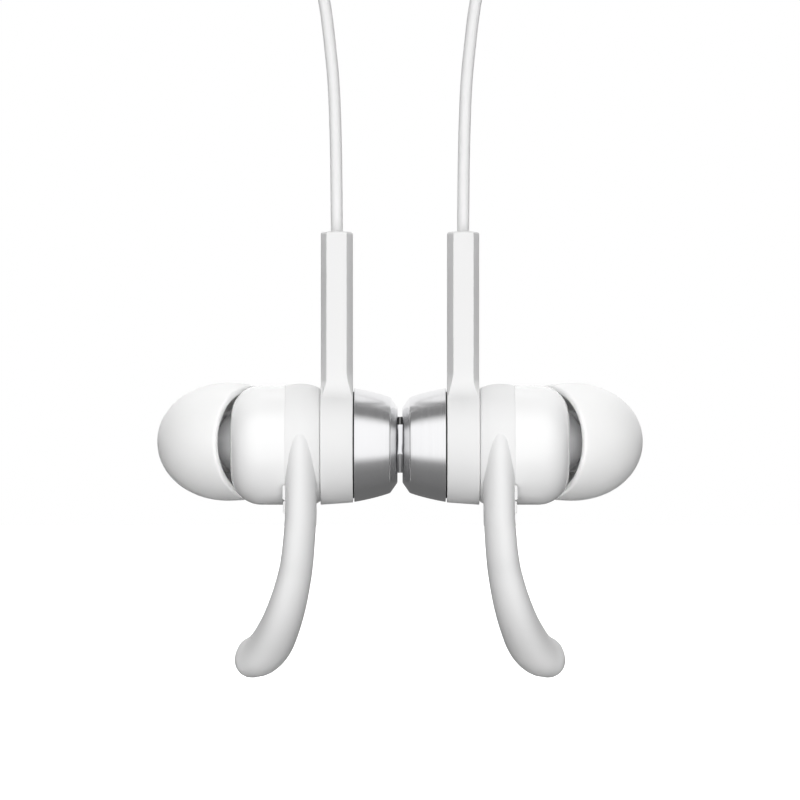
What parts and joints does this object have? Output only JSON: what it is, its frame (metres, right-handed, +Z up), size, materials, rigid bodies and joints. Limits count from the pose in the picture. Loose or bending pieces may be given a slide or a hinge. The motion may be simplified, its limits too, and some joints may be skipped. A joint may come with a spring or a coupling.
{
  "type": "neckband earphones",
  "caption": "Neckband earphones: flexible U band with two control pods, thin cords, and two stemmed in-ear buds with fins, clasped back to back by magnets.",
  "frame": {"origin": "middle of the neckband's flat underside at the nape of the wearer's neck", "axes": "+Z up, the wearer faces -Y, the wearer's left is +X; the buds hang below the front of the band"},
  "size_m": [0.1298, 0.1499, 0.2145],
  "materials": {
    "gloss_white": "gloss white moulded plastic",
    "satin_white": "satin white moulded plastic",
    "silicone": "matte off-white silicone",
    "cord": "soft matte white cord jacket",
    "brushed_aluminium": "turned and brushed, silver",
    "steel": "polished",
    "grey_metal": "satin grey metal",
    "black_rubber": "black seal",
    "plated_magnet": "nickel plated magnet",
    "film": "amber polymer film",
    "circuit_board": "green solder mask",
    "cell_foil": "laminate foil pouch",
    "light_pipe": "milky light pipe"
  },
  "bodies": {
    "neckband": {"band_sleeve": "silicone", "band_wire": "steel", "battery_cell": "cell_foil", "main_board": "circuit_board", "usb_port": "steel", "status_led": "light_pipe", "microphone_mesh": "grey_metal", "volume_up_switch": "steel", "play_switch": "steel", "volume_down_switch": "steel", "pod_lower_left": "gloss_white", "pod_upper_left": "gloss_white", "pod_nose_left": "brushed_aluminium", "cord_relief_left": "silicone", "pod_lower_right": "gloss_white", "pod_upper_right": "gloss_white", "pod_nose_right": "brushed_aluminium", "cord_relief_right": "silicone"},
    "left_bud": {"contact_disc_left": "steel", "end_cap_left": "brushed_aluminium", "clasp_magnet_left": "plated_magnet", "cap_seal_left": "black_rubber", "stem_shell_left": "satin_white", "cord_gland_left": "silicone", "front_shell_left": "gloss_white", "nozzle_left": "grey_metal", "nozzle_mesh_left": "grey_metal", "driver_basket_left": "grey_metal", "driver_magnet_left": "plated_magnet", "driver_diaphragm_left": "film", "cord_left": "cord"},
    "left_tip": {"ear_tip_left": "silicone"},
    "left_fin": {"ear_fin_left": "silicone"},
    "right_bud": {"contact_disc_right": "steel", "end_cap_right": "brushed_aluminium", "clasp_magnet_right": "plated_magnet", "cap_seal_right": "black_rubber", "stem_shell_right": "satin_white", "cord_gland_right": "silicone", "front_shell_right": "gloss_white", "nozzle_right": "grey_metal", "nozzle_mesh_right": "grey_metal", "driver_basket_right": "grey_metal", "driver_magnet_right": "plated_magnet", "driver_diaphragm_right": "film", "cord_right": "cord"},
    "right_tip": {"ear_tip_right": "silicone"},
    "right_fin": {"ear_fin_right": "silicone"},
    "volume_up_key": {"volume_up_button": "satin_white"},
    "play_key": {"play_button": "satin_white"},
    "volume_down_key": {"volume_down_button": "satin_white"},
    "cover": {"port_cover": "silicone"}
  },
  "joints": [
    {"name": "left_bud_swing", "type": "hinge", "parent": "neckband", "child": "left_bud", "pos_m": [0.04017, -0.13409, 0.0045], "axis": [0, -1, 0], "range_deg": [0, 40], "stiffness_Nm_per_rad": 0.004, "springref_deg": -45.84},
    {"name": "left_tip_pull", "type": "slide", "parent": "left_bud", "child": "left_tip", "axis": [0.788, 0.6157, 0], "range_m": [0, 0.008]},
    {"name": "left_fin_turn", "type": "hinge", "parent": "left_bud", "child": "left_fin", "pos_m": [0.01045, -0.14, -0.18], "axis": [1, 0, 0], "range_deg": [-10, 10]},
    {"name": "right_bud_swing", "type": "hinge", "parent": "neckband", "child": "right_bud", "pos_m": [-0.04017, -0.13409, 0.0045], "axis": [0, 1, 0], "range_deg": [0, 40], "stiffness_Nm_per_rad": 0.004, "springref_deg": -45.84},
    {"name": "right_tip_pull", "type": "slide", "parent": "right_bud", "child": "right_tip", "axis": [-0.788, 0.6157, 0], "range_m": [0, 0.008]},
    {"name": "right_fin_turn", "type": "hinge", "parent": "right_bud", "child": "right_fin", "pos_m": [-0.01045, -0.14, -0.18], "axis": [1, 0, 0], "range_deg": [-10, 10]},
    {"name": "volume_up_press", "type": "slide", "parent": "neckband", "child": "volume_up_key", "axis": [0, 0, -1], "range_m": [0, 0.0004], "stiffness_N_per_m": 300, "springref_m": -0.0002},
    {"name": "play_press", "type": "slide", "parent": "neckband", "child": "play_key", "axis": [0, 0, -1], "range_m": [0, 0.0004], "stiffness_N_per_m": 300, "springref_m": -0.0002},
    {"name": "volume_down_press", "type": "slide", "parent": "neckband", "child": "volume_down_key", "axis": [0, 0, -1], "range_m": [0, 0.0004], "stiffness_N_per_m": 300, "springref_m": -0.0002},
    {"name": "port_cover_swing", "type": "hinge", "parent": "neckband", "child": "cover", "pos_m": [-0.05767, -0.09925, 0.0051], "axis": [0, 0, -1], "range_deg": [0, 100]}
  ]
}
